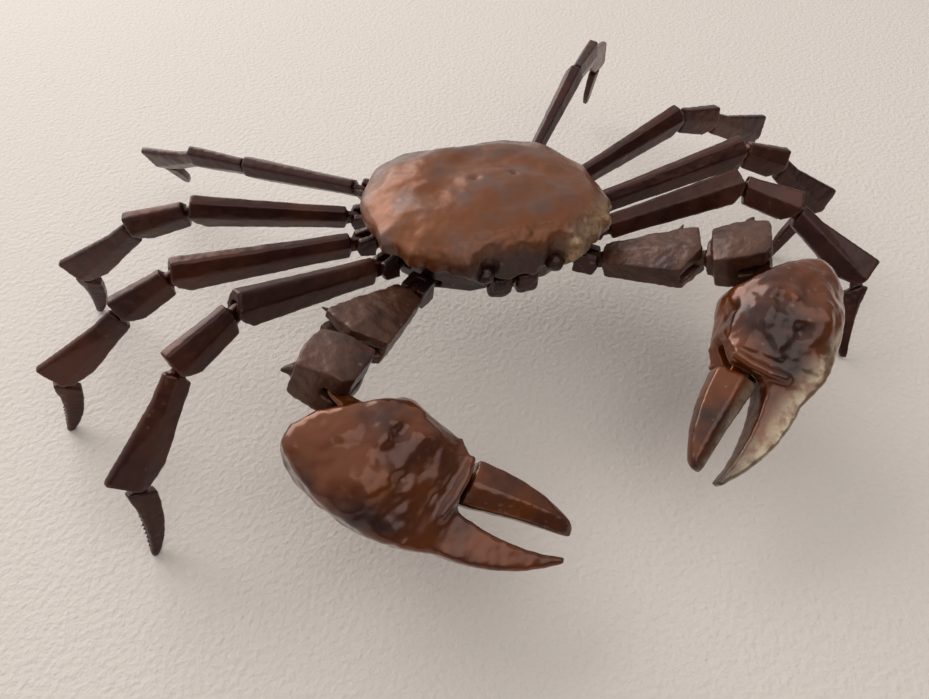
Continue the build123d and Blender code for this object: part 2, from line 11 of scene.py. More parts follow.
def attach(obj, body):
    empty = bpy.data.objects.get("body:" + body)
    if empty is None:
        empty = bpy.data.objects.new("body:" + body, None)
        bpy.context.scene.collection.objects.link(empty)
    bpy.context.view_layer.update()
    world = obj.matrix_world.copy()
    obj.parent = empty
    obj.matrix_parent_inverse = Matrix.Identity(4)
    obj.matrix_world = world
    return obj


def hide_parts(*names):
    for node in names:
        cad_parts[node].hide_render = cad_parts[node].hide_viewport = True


bl_info = {
    "name": "Articulated copper crab",
    "version": (1, 0, 0),
    "blender": (4, 5, 0),
    "location": "View3D > Sidebar > Crab",
    "description": "Dresses the crab's frame with hammered plates, worn edges and patina",
    "category": "Object",
}

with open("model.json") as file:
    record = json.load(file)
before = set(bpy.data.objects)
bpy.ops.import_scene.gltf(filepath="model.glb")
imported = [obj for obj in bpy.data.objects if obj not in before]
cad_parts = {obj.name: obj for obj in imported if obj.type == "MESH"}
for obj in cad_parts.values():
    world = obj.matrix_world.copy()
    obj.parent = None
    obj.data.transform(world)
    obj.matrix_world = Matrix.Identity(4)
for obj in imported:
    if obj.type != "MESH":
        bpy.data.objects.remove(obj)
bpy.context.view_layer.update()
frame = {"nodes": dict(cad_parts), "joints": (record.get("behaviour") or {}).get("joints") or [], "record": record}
JOINT = {joint["child"]: joint for joint in frame["joints"]}
BODY_OF = {node: body for body, nodes in frame["record"]["behaviour"]["bodies"].items() for node in nodes}
SIDES = ("left", "right")
MM = 0.001

# Sizes in millimetres
HIP_GRAIN, EYE_GRAIN, MOUTH_GRAIN = 0.22, 0.18, 0.25  # mesh of the small pieces
TALL = 9  # more than a plate's height on either side of its hinge
SLOT_PLAY = 0.34  # by which a fork's slot is wider than the tongue in it
SHOULDER, ELBOW, WRIST, PINCH = 1.7, 1.8, 1.8, 2.0  # round ends of the claws' tongues
RIM_RISE, RIM_BACK = 5.5, 0.2  # the rim's middle, from the middle of the second legs' hips
EYE_PLACE = 8  # each eye beside the middle


# Colours and nodes
def linear(code):
    """Linear colour of an sRGB hex value."""
    parts = [int(code[i:i + 2], 16) / 255 for i in (1, 3, 5)]
    return [p / 12.92 if p <= 0.04045 else ((p + 0.055) / 1.055) ** 2.4 for p in parts] + [1.0]


def add_node(tree, kind, settings, output=0):
    """Adds a node with its settings, each a property, a value or a link, and gives one of its outputs."""
    node = tree.nodes.new("ShaderNode" + kind)
    traits = [name for name in settings if isinstance(name, str) and hasattr(node, name)]
    for name in traits:
        setattr(node, name, settings[name])
    for name, value in settings.items():
        if isinstance(value, bpy.types.NodeSocket):
            tree.links.new(value, node.inputs[name])
        elif name not in traits:
            node.inputs[name].default_value = value
    return node if output is None else node.outputs[output]


# Properties
class CrabFinish(bpy.types.PropertyGroup):
    """Colours of the patinas and of the paper"""

    shell: bpy.props.FloatVectorProperty(name="Shell", description="Warm patina of the shell", size=4,
                                         subtype="COLOR", default=linear("#76411d"))
    # second colour of the shell: a greyish bloom in clouds, and the painted reflection of the sky that greys the
    # shell towards its rear
    bloom_and_painted_sheen: bpy.props.FloatVectorProperty(name="Bloom", description="Greyish bloom on the shell", size=4,
                                         subtype="COLOR", default=linear("#67504a"))
    palm: bpy.props.FloatVectorProperty(name="Hands", description="Warm patina of the hands", size=4,
                                        subtype="COLOR", default=linear("#6c3309"))
    dusk: bpy.props.FloatVectorProperty(name="Dusk", description="Dark patina of the hands", size=4,
                                        subtype="COLOR", default=linear("#341710"))
    limb: bpy.props.FloatVectorProperty(name="Limbs", description="Dark patina of the legs", size=4,
                                        subtype="COLOR", default=linear("#37160e"))
    rust: bpy.props.FloatVectorProperty(name="Glow", description="Warmer patina on the legs", size=4,
                                        subtype="COLOR", default=linear("#4e2515"))
    arm: bpy.props.FloatVectorProperty(name="Arms", description="Greyish patina of the arms", size=4,
                                       subtype="COLOR", default=linear("#543425"))
    # the patina colour of the hollows, which also serves as painted shade below the shell's front rim
    shade: bpy.props.FloatVectorProperty(name="Hollows", description="Patina in the hollows", size=4,
                                         subtype="COLOR", default=linear("#1e100d"))
    soot: bpy.props.FloatVectorProperty(name="Soot", description="Black in the hollows below", size=4,
                                        subtype="COLOR", default=linear("#0c0706"))
    worn: bpy.props.FloatVectorProperty(name="Worn metal", description="Bare metal on the edges", size=4,
                                        subtype="COLOR", default=linear("#b29372"))
    silver: bpy.props.FloatVectorProperty(name="Pale metal", description="Brightest worn metal", size=4,
                                          subtype="COLOR", default=linear("#b8a88f"))
    paper: bpy.props.FloatVectorProperty(name="Paper", description="Paper under the crab", size=4,
                                         subtype="COLOR", default=linear("#d8cfc8"))


class CrabShape(bpy.types.PropertyGroup):
    """Sizes of the plates"""

    grain: bpy.props.FloatProperty(name="Grain", description="Size of the mesh on the limbs", unit="LENGTH",
                                   precision=5, default=0.3 * MM)
    shell_grain: bpy.props.FloatProperty(name="Shell grain", description="Size of the mesh on the shell",
                                         unit="LENGTH", precision=5, default=0.4 * MM)
    blow: bpy.props.FloatProperty(name="Hammer marks", description="Depth of the hammer marks",
                                  unit="LENGTH", precision=5, default=0.16 * MM)
    tongue: bpy.props.FloatProperty(name="Leg tongue", description="Thickness of a leg's tongue",
                                    unit="LENGTH", precision=5, default=1.2 * MM)
    claw_tongue: bpy.props.FloatProperty(name="Claw tongue", description="Thickness of a claw's tongue",
                                         unit="LENGTH", precision=5, default=1.7 * MM)


def sizes_in_mm(context):
    """The panel's sizes in millimetres."""
    shape = context.scene.crab_shape
    return SimpleNamespace(**{name: round(getattr(shape, name) / MM, 4) for name in CrabShape.__annotations__})


# Patinas
# Width of a small round hammer's marks, of the grain as it is drawn, and their depth, in millimetres
BLOW_PITCH, GRAIN_PITCH, RELIEF = 2.2, 0.45, 0.3
# Pointiness, 0.5 on the flat, at which a hollow and a crest begin and are full
HOLLOW, CREST = (0.49, 0.43), (0.56, 0.66)
# Noise at which the second colour, a worn patch and a duller patch begin and are full
CLOUD_EDGE, PATCH_EDGE, DULL_EDGE = (0.6, 0.84), (0.4, 0.56), (0.3, 0.7)


def fade(tree, place, line):
    """Rises from 0 to 1 along a line: where it starts, its direction and its length in millimetres."""
    start, ahead, reach = line
    ahead = ahead.normalized()
    along = add_node(tree, "VectorMath", {"operation": "DOT_PRODUCT", 0: place, 1: ahead}, "Value")
    begin = start.dot(ahead)
    return add_node(tree, "MapRange", {"interpolation_type": "SMOOTHSTEP", "Value": along, "From Min": begin,
                                       "From Max": begin + reach * MM})


def patina(name, base, second, shade, bare, rough=0.34, wear=0.3, blotch=12.0, chisel=0.0, metal=0.5,
           coat=0.3, streak=3.0, painted_sheen_line=None, rub=None, dark=None):
    """Copper under a waxed brown patina, as liver of sulphur leaves on hammered sheet.

    The skin is dark and half metallic, so that it shows warm where it faces the light and
    greyish where the sky glances off its wax; it is black in the hollows, and bare metal comes
    through on the edges that are handled.  Blotch and streak are the widths of its clouds and
    stains in millimetres.  The painted sheen line leads to the second colour as a painted
    reflection of the sky, rub leads to bare metal, and dark leads to the shade colour as painted shade."""
    material = bpy.data.materials.new(name)
    material.use_nodes = True
    tree = material.node_tree
    tree.nodes.clear()
    place = add_node(tree, "TexCoord", {}, "Object")
    edges = add_node(tree, "NewGeometry", {}, "Pointiness")
    clouds = add_node(tree, "TexNoise", {"Vector": place, "Scale": 1 / (blotch * MM), "Detail": 2.0,
                                         "Roughness": 0.45})
    streaks = add_node(tree, "TexNoise", {"Vector": place, "Scale": 1 / (streak * MM), "Detail": 5.0,
                                          "Roughness": 0.62})
    # the real grain of a tenth of a millimetre is too fine to show, so it is drawn coarser
    grain = add_node(tree, "TexNoise", {"Vector": place, "Scale": 1 / (GRAIN_PITCH * MM), "Detail": 3.0})

    # the two colours in clouds, the second also spread along a line as a painted reflection of the sky,
    # painted shade along another line where the piece lies dark, and the shade colour in its hollows
    mottle_and_painted_sheen = add_node(tree, "Math", {"operation": "MULTIPLY_ADD", 0: streaks, 1: 0.3, 2: clouds})
    mottle_and_painted_sheen = add_node(tree, "MapRange", {"Value": mottle_and_painted_sheen, "From Min": CLOUD_EDGE[0], "From Max": CLOUD_EDGE[1]})
    # painted reflection of the sky: the second colour spreads along the sheen line
    if painted_sheen_line:
        mottle_and_painted_sheen = add_node(tree, "Math", {"operation": "MULTIPLY_ADD", "use_clamp": True, 0: mottle_and_painted_sheen, 1: 0.75,
                                         2: fade(tree, place, painted_sheen_line)})
    colour = add_node(tree, "Mix", {"data_type": "RGBA", 0: mottle_and_painted_sheen, 6: base, 7: second}, 2)
    # painted shade: darker towards the shade colour along the line
    if dark:
        low = add_node(tree, "Math", {"operation": "MULTIPLY", 0: fade(tree, place, dark), 1: 0.75})
        colour = add_node(tree, "Mix", {"data_type": "RGBA", 0: low, 6: colour, 7: shade}, 2)
    hollow = add_node(tree, "MapRange", {"Value": edges, "From Min": HOLLOW[0], "From Max": HOLLOW[1]})
    colour = add_node(tree, "Mix", {"data_type": "RGBA", 0: hollow, 6: colour, 7: shade}, 2)

    # bare metal on the crests and where the piece is rubbed, broken up in patches
    worn = add_node(tree, "MapRange", {"Value": edges, "From Min": CREST[0], "From Max": CREST[1],
                                       "To Max": wear})
    if rub:
        worn = add_node(tree, "Math", {"operation": "ADD", "use_clamp": True, 0: worn,
                                       1: fade(tree, place, rub)})
    patches = add_node(tree, "MapRange", {"Value": streaks, "From Min": PATCH_EDGE[0],
                                          "From Max": PATCH_EDGE[1], "To Min": 0.35 if rub else 0.0})
    worn = add_node(tree, "Math", {"operation": "MULTIPLY", 0: worn, 1: patches})
    colour = add_node(tree, "Mix", {"data_type": "RGBA", 0: worn, 6: colour, 7: bare}, 2)
    metallic = add_node(tree, "Math", {"operation": "MULTIPLY_ADD", 0: worn, 1: 0.45, 2: metal})
    gloss = add_node(tree, "MapRange", {"Value": streaks, "From Min": DULL_EDGE[0], "From Max": DULL_EDGE[1],
                                        "To Min": rough - 0.07, "To Max": rough + 0.12})

    # hammer marks, stains and grain as a shallow relief
    dents = add_node(tree, "TexVoronoi", {"feature": "SMOOTH_F1", "Vector": place,
                                          "Scale": 1 / (BLOW_PITCH * MM), "Smoothness": 0.7})
    height = add_node(tree, "Math", {"operation": "MULTIPLY_ADD", 0: grain, 1: 0.25 + chisel, 2: dents})
    height = add_node(tree, "Math", {"operation": "MULTIPLY_ADD", 0: streaks, 1: 0.5, 2: height})
    bump = add_node(tree, "Bump", {"Strength": 0.16 + chisel * 0.5, "Distance": RELIEF * MM, "Height": height})
    shader = add_node(tree, "BsdfPrincipled", {"Base Color": colour, "Metallic": metallic,
                                               "Roughness": gloss, "Normal": bump, "Coat Weight": coat,
                                               "Coat Roughness": 0.2})
    add_node(tree, "OutputMaterial", {"Surface": shader}, None)
    return material


# Modelling
def deselect():
    """Selects nothing."""
    bpy.ops.object.select_all(action="DESELECT")


def edit():
    """Starts edit mode."""
    bpy.ops.object.mode_set(mode="EDIT")


def done():
    """Goes back to object mode."""
    bpy.ops.object.mode_set(mode="OBJECT")


def activate(piece):
    """Selects one piece and makes it active."""
    deselect()
    piece.select_set(True)
    bpy.context.view_layer.objects.active = piece


def pick(test):
    """In edit mode, selects the vertices that pass a test."""
    bpy.context.tool_settings.mesh_select_mode = (True, False, False)
    bpy.ops.mesh.select_all(action="DESELECT")
    mesh = bmesh.from_edit_mesh(bpy.context.object.data)
    for vertex in mesh.verts:
        vertex.select_set(test(vertex.co))
    mesh.select_flush(True)
    bmesh.update_edit_mesh(bpy.context.object.data)


def settle():
    """Applies the place, turn and size of the active object."""
    bpy.ops.object.transform_apply(location=True, rotation=True, scale=True)
    return bpy.context.object


def draw_out(stations):
    """Draws a bar out of a cube by one extrusion for each station: (x, y, height, width)."""
    (x0, y0, tall0, wide0), (x1, y1, tall, wide) = stations[:2]
    deselect()
    bpy.ops.mesh.primitive_cube_add(size=1, location=((x0 + x1) / 2, y0, 0), scale=(x1 - x0, tall0, wide0))
    bar = settle()
    edit()
    pick(lambda c: c.x > (x0 + x1) / 2)
    bpy.ops.transform.resize(value=(1, tall / tall0, wide / wide0), center_override=(x1, y0, 0))
    bpy.ops.transform.translate(value=(0, y1 - y0, 0))
    bpy.context.tool_settings.mesh_select_mode = (False, False, True)
    for x2, y2, tall2, wide2 in stations[2:]:
        bpy.ops.mesh.extrude_region_move(TRANSFORM_OT_translate={"value": (x2 - x1, y2 - y1, 0)})
        bpy.ops.transform.resize(value=(1, tall2 / tall, wide2 / wide), center_override=(x2, y2, 0))
        x1, y1, tall, wide = x2, y2, tall2, wide2
    done()
    return bar


def fold(bar, middle, top_share, low_share):
    """Folds a bar to six sides: pinches its back and its belly, above and below a middle height."""
    activate(bar)
    edit()
    bpy.ops.mesh.select_all(action="SELECT")
    bpy.ops.mesh.bisect(plane_co=(0, middle, 0), plane_no=(0, 1, 0))
    pick(lambda c: c.y > middle + 0.2)
    bpy.ops.transform.resize(value=(1, 1, top_share), center_override=(0, 0, 0))
    pick(lambda c: c.y < middle - 0.2)
    bpy.ops.transform.resize(value=(1, 1, low_share), center_override=(0, 0, 0))
    done()


def trim(bar, start, end):
    """Cuts a bar along a line from start to end, seen from its side, and drops what lies to the right."""
    activate(bar)
    edit()
    bpy.ops.mesh.select_all(action="SELECT")
    along = Vector((end[0] - start[0], end[1] - start[1], 0)).normalized()
    bpy.ops.mesh.bisect(plane_co=(start[0], start[1], 0), plane_no=(along.y, -along.x, 0), use_fill=True,
                        clear_outer=True)
    done()


# Lower corner and tip of a fork, and the start of its slot, in knuckles from its hinge
FORK_LOW, FORK_TIP, SLOT_START = (0.2, -1.3), (0.95, -0.2), 1.45


def fork_end(bar, length, knuckle, heel, back, belly, lip):
    """Trims a bar's far end round its hinge: heel, lower corner, tip of the fork and lip."""
    low, tip = ((length + x * knuckle, y * knuckle) for x, y in (FORK_LOW, FORK_TIP))
    trim(bar, (length - heel * knuckle, -belly), low)
    trim(bar, low, tip)
    trim(bar, tip, (length + lip * knuckle, back))


def carve(piece, cutter):
    """Cuts a tool's shape out of a piece."""
    activate(piece)
    modifier = piece.modifiers.new("cut", "BOOLEAN")
    modifier.operation = "DIFFERENCE"
    modifier.object = cutter
    bpy.ops.object.modifier_apply(modifier=modifier.name)
    bpy.data.objects.remove(cutter)


def block(x0, x1, low, high, wide, turn=0.0):
    """A plain block along a limb, turned about it: a cutter or the root of a tongue."""
    middle = (low + high) / 2
    deselect()
    bpy.ops.mesh.primitive_cube_add(size=1, rotation=(turn, 0, 0), scale=(x1 - x0, high - low, wide),
                                    location=((x0 + x1) / 2, middle * math.cos(turn), middle * math.sin(turn)))
    return settle()


def knuckle_disc(radius, thick, turn=0.0):
    """The round end of a tongue, on its hinge."""
    deselect()
    bpy.ops.mesh.primitive_cylinder_add(vertices=28, radius=radius, depth=thick, rotation=(turn, 0, 0))
    return settle()


def spike(base, tip, radius, blunt=0.12):
    """A small cone from its base to its tip: a spine, a tooth or, blunt, a bead of metal."""
    base, tip = Vector(base), Vector(tip)
    ahead = tip - base
    deselect()
    bpy.ops.mesh.primitive_cone_add(vertices=10, radius1=radius, radius2=radius * blunt, depth=ahead.length,
                                    location=(base + tip) / 2)
    spine = bpy.context.object
    spine.rotation_mode = "QUATERNION"
    spine.rotation_quaternion = Vector((0, 0, 1)).rotation_difference(ahead)
    return settle()


def ball(at, size):
    """A rounded lump, given its middle and its three half sizes."""
    deselect()
    bpy.ops.mesh.primitive_uv_sphere_add(segments=20, ring_count=10, radius=1, location=at, scale=size)
    return settle()


def join(pieces):
    """Joins pieces to one."""
    deselect()
    for piece in pieces:
        piece.select_set(True)
    bpy.context.view_layer.objects.active = pieces[0]
    bpy.ops.object.join()
    return bpy.context.object


def modify(piece, kind, **settings):
    """Adds a modifier with its settings and applies it."""
    activate(piece)
    modifier = piece.modifiers.new(kind.lower(), kind)
    for name, value in settings.items():
        setattr(modifier, name, value)
    bpy.ops.object.modifier_apply(modifier=modifier.name)


def fuse(piece, grain, rounds):
    """Fuses the joined parts of a piece to one skin with a fine mesh and rounds its edges."""
    modify(piece, "REMESH", mode="VOXEL", voxel_size=grain, adaptivity=0.0)
    modify(piece, "SMOOTH", factor=0.5, iterations=rounds)


def soften(piece, times_over, test):
    """Rounds the part of a piece that passes a test."""
    group = piece.vertex_groups.new(name="soft")
    group.add([vertex.index for vertex in piece.data.vertices if test(vertex.co)], 1.0, "REPLACE")
    modify(piece, "SMOOTH", factor=0.5, iterations=times_over, vertex_group="soft")
    piece.vertex_groups.clear()


def hammer(piece, depth, size, test=None):
    """Dents a piece, or the part of it that passes a test, with blows of one size and depth."""
    texture = bpy.data.textures.new("blows", "CLOUDS")
    texture.noise_scale = size
    group = piece.vertex_groups.new(name="struck")
    struck = [vertex.index for vertex in piece.data.vertices if test is None or test(vertex.co)]
    group.add(struck, 1.0, "REPLACE")
    modify(piece, "DISPLACE", texture=texture, strength=depth, mid_level=0.5, texture_coords="LOCAL",
           vertex_group="struck")
    piece.vertex_groups.clear()
    bpy.data.textures.remove(texture)


def push(piece, blows):
    """Raises or sinks the skin of a piece: each blow has its place, its move and its reach."""
    activate(piece)
    edit()
    for at, move, reach in blows:
        middle = Vector(at)
        pick(lambda c: (c - middle).length < reach * 0.3)
        bpy.ops.transform.translate(value=move, use_proportional_edit=True, proportional_edit_falloff="SMOOTH",
                                    proportional_size=reach)
    done()


# Places on the frame
def hinge(child):
    """Place and axis of the joint that carries a body."""
    joint = JOINT[child]
    return Vector(joint["pos_m"]), Vector(joint["axis"]).normalized()


def axes_at(root, ahead, side):
    """Matrix that takes millimetres at a root to the frame: X ahead, Z as near as it can be to side."""
    ahead = ahead.normalized()
    side = (side - ahead * side.dot(ahead)).normalized()
    turn = Matrix((ahead, side.cross(ahead), side)).transposed().to_4x4()
    return Matrix.Translation(root) @ turn @ Matrix.Scale(MM, 4)


def tip_of(node, root):
    """The far end of a node: the middle of the corners that lie furthest from its hinge."""
    corners = [vertex.co.copy() for vertex in frame["nodes"][node].data.vertices]
    reach = max((corner - root).length for corner in corners)
    far = [corner for corner in corners if (corner - root).length > reach - 0.15 * MM]
    return sum(far, Vector()) / len(far)


def limb_frame(child, end, axis=None):
    """Frame along a limb, from its hinge to its end, and its length in millimetres."""
    root, own = hinge(child)
    return axes_at(root, end - root, axis or own), (end - root).length / MM


def turn_about_limb(matrix, axis):
    """Angle about a limb from its Z to another hinge's axis."""
    local = matrix.to_3x3().normalized().transposed() @ axis
    return math.atan2(-local.y, local.z)


def body_frame():
    """Frame of the body: the middle of the rim, X to the crab's left, Y to its back."""
    (left, down), (right, _) = hinge("left_leg_2_coxa"), hinge("right_leg_2_coxa")
    across, up = (left - right).normalized(), -down
    return Matrix.Translation((left + right) / 2 + (up * RIM_RISE + up.cross(across) * RIM_BACK) * MM) @ Matrix(
        (across, up.cross(across), up)).transposed().to_4x4() @ Matrix.Scale(MM, 4)


def raised_copy(node, matrix):
    """A merged copy of a CAD node in the millimetres of a frame, to be raised like sheet on a stake."""
    piece = bpy.data.objects.new("raised", frame["nodes"][node].data.copy())
    bpy.context.scene.collection.objects.link(piece)
    activate(piece)
    piece.matrix_world = matrix.inverted()
    settle()
    edit()
    bpy.ops.mesh.select_all(action="SELECT")
    bpy.ops.mesh.remove_doubles(threshold=0.001)
    done()
    return piece


def set_down(piece, matrix, name, node, finish):
    """Moves a finished piece to its place, gives it its finish and lets it ride on its body."""
    activate(piece)
    piece.matrix_world = matrix
    settle()
    piece.name = name
    piece.data.materials.clear()
    piece.data.materials.append(bpy.data.materials[finish])
    bpy.ops.object.shade_smooth()
    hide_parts(node)
    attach(piece, BODY_OF[node])


class CRAB_OT_finishes(bpy.types.Operator):
    """Mixes the patinas"""

    bl_idname = "crab.finishes"
    bl_label = "Patinas"

    def execute(self, context):
        colour = context.scene.crab_finish
        body = body_frame()
        hand = limb_frame("left_claw_palm", *hinge("left_claw_finger"))[0]
        grip = limb_frame("left_claw_finger", tip_of("left_claw_finger", hinge("left_claw_finger")[0]))[0]
        # where each change starts, its direction and its length in millimetres
        # painted reflection of the bright sky, greying the shell towards its rear
        painted_sheen_to_rear = (body @ Vector((0, 3, 5)), body.to_3x3() @ Vector((0.15, 1, 0)), 13.0)
        rim_rub = (body @ Vector((14.0, -15.0, 2)), body.to_3x3() @ Vector((0.6, -0.8, 0)), 5.0)
        # painted shade on the face that turns down below the front rim
        painted_shade_below_rim = (body @ Vector((0, -16.5, 2.0)), body.to_3x3() @ Vector((0, -0.75, -0.65)), 5.0)
        hand_rub = (hand @ Vector((26, -6.5, 0)), hand.to_3x3() @ Vector((0.4, -1, 0)), 6.0)
        grip_rub = (grip @ Vector((8, 0.2, 0)), grip.to_3x3() @ Vector((0.05, -1, 0)), 3.0)
        copper = (colour.shade, colour.worn)
        # sheet raised with a hammer, browned and waxed: a satin red brown, greyer to the rear as a painted
        # reflection of the sky, darker below the front rim as painted shade, worn at the rim
        patina("hammered copper, brown patina", colour.shell, colour.bloom_and_painted_sheen, *copper, rough=0.38, wear=0.25,
               blotch=8.0, coat=0.2, metal=0.42, streak=1.6, painted_sheen_line=painted_sheen_to_rear, rub=rim_rub, dark=painted_shade_below_rim)
        # strip folded to legs and dipped long in liver of sulphur: nearly black, warm only in the light
        patina("folded copper, liver patina", colour.limb, colour.rust, *copper, rough=0.32, wear=0.16,
               blotch=16.0, coat=0.15, metal=0.5)
        # plates chased with a blunt punch and left dull: grey brown, rough, with scuffed edges
        patina("chased copper, dull patina", colour.arm, colour.dusk, *copper, rough=0.42, wear=0.3,
               blotch=8.0, chisel=0.4, metal=0.42, coat=0.2, streak=1.8)
        # castings under wax: the smoothest and reddest skin, with dark pools
        cast = {"rough": 0.2, "wear": 0.2, "blotch": 13.0, "coat": 0.4, "metal": 0.35}
        patina("cast bronze, waxed patina", colour.palm, colour.dusk, *copper, streak=4.0, **cast)
        # the same castings where they are handled most: the wax is gone and pale gold shows in patches
        for part, rub in (("hand", hand_rub), ("finger", grip_rub)):
            patina(f"cast bronze, rubbed {part}", colour.palm, colour.dusk, colour.shade, colour.silver,
                   streak=2.6, rub=rub, **cast)
        # sheet blackened for the underside: soot black with a faint brown sheen
        patina("sheet copper, black patina", colour.limb, colour.shade, colour.soot, colour.worn, rough=0.38,
               wear=0.25, blotch=6.0, metal=0.45)
        return {"FINISHED"}


# Blows that shape the shell, each with its place, its move and its reach: along its middle, on its
# left half, which the right half mirrors, and on the brow, with one dimple on the right alone
SHELL_BLOWS = (
    [((0, 3.5, 9), (0, 0, -0.8), 5.0)]  # pit behind the middle
    + [((x, 14.5 - abs(x + 2) * 0.12, 5.2), (0, 0, -0.6), 5.6)
       for x in (-14, -9, -4, 1, 6, 11)]  # groove inside the rear rim
    + [((x, 9.2 - abs(x + 2) * 0.25, 8.2 - abs(x) * 0.08), (0, 0, 0.2), 4.0)
       for x in (-13, -10, -7, -4, -1, 2, 5, 8)]  # ridge before that groove
)
SHELL_SIDE_BLOWS = [
    ((5, 1.6, 9), (0, 0, -0.5), 3.6),  # groove that curls forward from the pit
    ((9.5, -1.5, 8.6), (0, 0, -0.45), 3.6),
    ((14, -5.5, 7.4), (0, 0, -0.4), 3.6),
    ((15, 4, 7.4), (0, 0, 0.5), 7.0),  # swelling outside it
    ((7, 9, 7.6), (0, 0, 0.35), 5.0),  # swelling behind it
    ((4.6, -14.5, 6.2), (0, 0, 0.5), 3.4),  # lobes of the brow
    ((10.5, -13.5, 5.6), (0, 0, 0.55), 3.4),
    ((17.5, -9.5, 5.0), (0, 0, 0.45), 3.4),
    ((4.4, -3.4, 9.2), (0, 0, -0.5), 1.6),  # dimple in the brow
    ((7.4, -18.4, 2.2), (0, 0.7, -0.7), 2.2),  # notch over the eye
]
BROW_BLOWS = [((0, -5.5, 9.2), (0, 0, 0.5), 6.5), ((-6.3, 0.6, 8.9), (0, 0, -0.45), 1.6)]


def mirrored(blows, axis, side):
    """Blows on one side or the other, as their place and move change sign along an axis."""
    signs = [side if i == axis else 1 for i in range(3)]
    return [([c * sign for c, sign in zip(at, signs)], [c * sign for c, sign in zip(move, signs)], reach)
            for at, move, reach in blows]


class CRAB_OT_shell(bpy.types.Operator):
    """Raises the shell, its grooves and its lobed front"""

    bl_idname = "crab.shell"
    bl_label = "Shell"

    def execute(self, context):
        place = body_frame()
        mesh_size = sizes_in_mm(context).shell_grain
        shell = raised_copy("carapace", place)
        modify(shell, "REMESH", mode="VOXEL", voxel_size=mesh_size)
        soften(shell, 30, lambda c: c.z > 2.2 and abs(c.x) + abs(c.y) * 0.4 < 27)
        # the brow is drawn down between the eyes
        edit()
        pick(lambda c: c.z < 0.7 and c.y < -13 and abs(c.x) < 9)
        bpy.ops.transform.translate(value=(0, 0.5, -3.4), use_proportional_edit=True,
                                    proportional_edit_falloff="SMOOTH", proportional_size=5.0)
        done()
        modify(shell, "REMESH", mode="VOXEL", voxel_size=mesh_size)
        modify(shell, "SMOOTH", factor=0.5, iterations=5)
        push(shell, SHELL_BLOWS + mirrored(SHELL_SIDE_BLOWS, 0, 1) + mirrored(SHELL_SIDE_BLOWS, 0, -1)
             + BROW_BLOWS)
        # broad blows all over, fine ones on top, and a wrinkled brow
        hammer(shell, 0.6, 7.0)
        hammer(shell, 0.2, 2.2)
        hammer(shell, 0.9, 3.2, test=lambda c: c.y < -13 - c.z * 0.7)
        soften(shell, 1, lambda c: True)
        set_down(shell, place, "carapace_plate", "carapace", "hammered copper, brown patina")
        return {"FINISHED"}


class CRAB_OT_underside(bpy.types.Operator):
    """Raises the under-body, its folded tail and the hips"""

    bl_idname = "crab.underside"
    bl_label = "Underside"

    def execute(self, context):
        place = body_frame()
        for node, name, mesh_size, depth, size in (("plastron", "under_plate", 0.36, 0.3, 4.0),
                                                   ("abdomen_flap", "tail_plate", 0.24, 0.15, 2.5)):
            plate = raised_copy(node, place)
            modify(plate, "REMESH", mode="VOXEL", voxel_size=mesh_size)
            modify(plate, "SMOOTH", factor=0.5, iterations=3)
            hammer(plate, depth, size)
            set_down(plate, place, name, node, "sheet copper, black patina")
        for word in SIDES:
            for limb in [f"{word}_claw"] + [f"{word}_leg_{pair}" for pair in range(1, 5)]:
                node = f"{limb}_coxa"
                base = axes_at(hinge(node)[0], hinge(f"{limb}_merus")[0] - hinge(node)[0], hinge(node)[1])
                hip = raised_copy(node, base)
                modify(hip, "REMESH", mode="VOXEL", voxel_size=HIP_GRAIN)
                modify(hip, "SMOOTH", factor=0.5, iterations=5)
                hammer(hip, 0.2, 1.6)
                set_down(hip, base, f"{limb}_hip_block", node, "sheet copper, black patina")
        pins = frame["nodes"]["hip_pins"]
        pins.data.materials.clear()
        pins.data.materials.append(bpy.data.materials["sheet copper, black patina"])
        return {"FINISHED"}


class CRAB_OT_head(bpy.types.Operator):
    """Shapes the wrinkled eyes and the plates over the mouth"""

    bl_idname = "crab.head"
    bl_label = "Eyes and mouth"

    def execute(self, context):
        place = body_frame()
        for side, word in ((1, "left"), (-1, "right")):
            eye = join([ball((side * EYE_PLACE, -20.5, -2), (2.0, 2.0, 1.95)),
                        spike((side * EYE_PLACE, -16.8, -2), (side * EYE_PLACE, -20, -2), 1.7, 0.9)])
            fuse(eye, EYE_GRAIN, 2)
            hammer(eye, 0.6, 0.9)
            set_down(eye, place, f"{word}_eye_ball", f"{word}_eye", "sheet copper, black patina")
            plate = raised_copy(f"{word}_maxilliped", place)
            modify(plate, "REMESH", mode="VOXEL", voxel_size=MOUTH_GRAIN)
            modify(plate, "SMOOTH", factor=0.5, iterations=220)
            hammer(plate, 0.7, 1.7)
            soften(plate, 2, lambda c: True)
            set_down(plate, place, f"{word}_mouth_plate", f"{word}_maxilliped", "sheet copper, black patina")
        return {"FINISHED"}


# Half heights of a leg's plates, back and belly at the near and far end, and their widths
LEG_SHAPES = {
    "merus": (2.74, 2.74, 3.7, 3.7, 3.6, 5.0),
    "carpus": (3.04, 3.04, 4.26, 3.34, 3.5, 4.8),
    "propodus": (2.64, 2.64, 5.8, 3.5, 3.3, 4.6),
}
# Radius of the knuckle on a plate's near and far hinge
KNUCKLES = {"merus": (1.5, 1.6), "carpus": (1.6, 1.45), "propodus": (1.45, 1.3), "dactyl": (1.3, 0)}
# Where the root of a plate's tongue lies at its back and belly, and where its belly ends before
# the far hinge, in knuckles
SHOULDERS = {"merus": (1.65, 1.65), "carpus": (1.25, 2.7), "propodus": (1.25, 2.7)}
HEELS = {"merus": 1.2, "carpus": 1.2, "propodus": 3.6}
